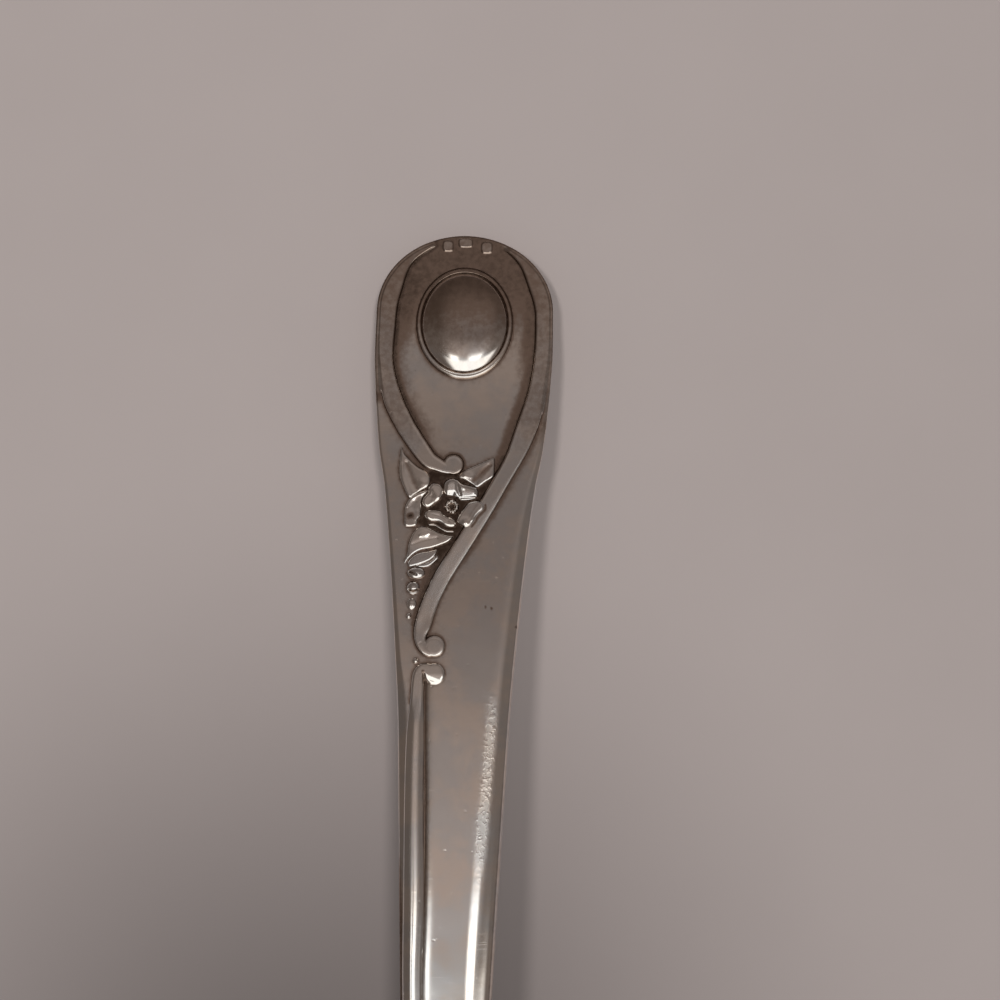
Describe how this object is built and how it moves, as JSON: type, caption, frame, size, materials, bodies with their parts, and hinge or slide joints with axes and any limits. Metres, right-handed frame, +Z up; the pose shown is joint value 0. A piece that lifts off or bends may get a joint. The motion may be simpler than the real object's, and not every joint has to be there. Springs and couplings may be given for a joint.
{
  "type": "baby spoon",
  "caption": "Silver-plated infant feeding spoon with an egg-shaped bowl and an arched, tapering handle whose broad end carries scrolls, a flower, leaves and a plain oval boss.",
  "frame": {"origin": "on the table, under the middle of the spoon's length and width, as it lies face up", "axes": "+Y towards the handle's tip, +Z up, +X to the right when the handle points away"},
  "size_m": [0.027, 0.14, 0.0131],
  "materials": {
    "bowl_silver": "polished",
    "handle_silver": "satin",
    "relief_silver": "satin"
  },
  "bodies": {
    "root": {"bowl": "bowl_silver", "handle": "handle_silver", "left_scroll": "relief_silver", "right_scroll": "relief_silver", "edge_reed": "relief_silver", "crest_beads": "relief_silver", "medallion_boss": "relief_silver", "flower_petals": "relief_silver", "flower_eye": "relief_silver", "upper_left_leaf": "relief_silver", "upper_right_leaf": "relief_silver", "curled_leaf": "relief_silver", "large_lower_leaf": "relief_silver", "small_lower_leaf": "relief_silver", "bud_spray": "relief_silver"}
  },
  "joints": []
}
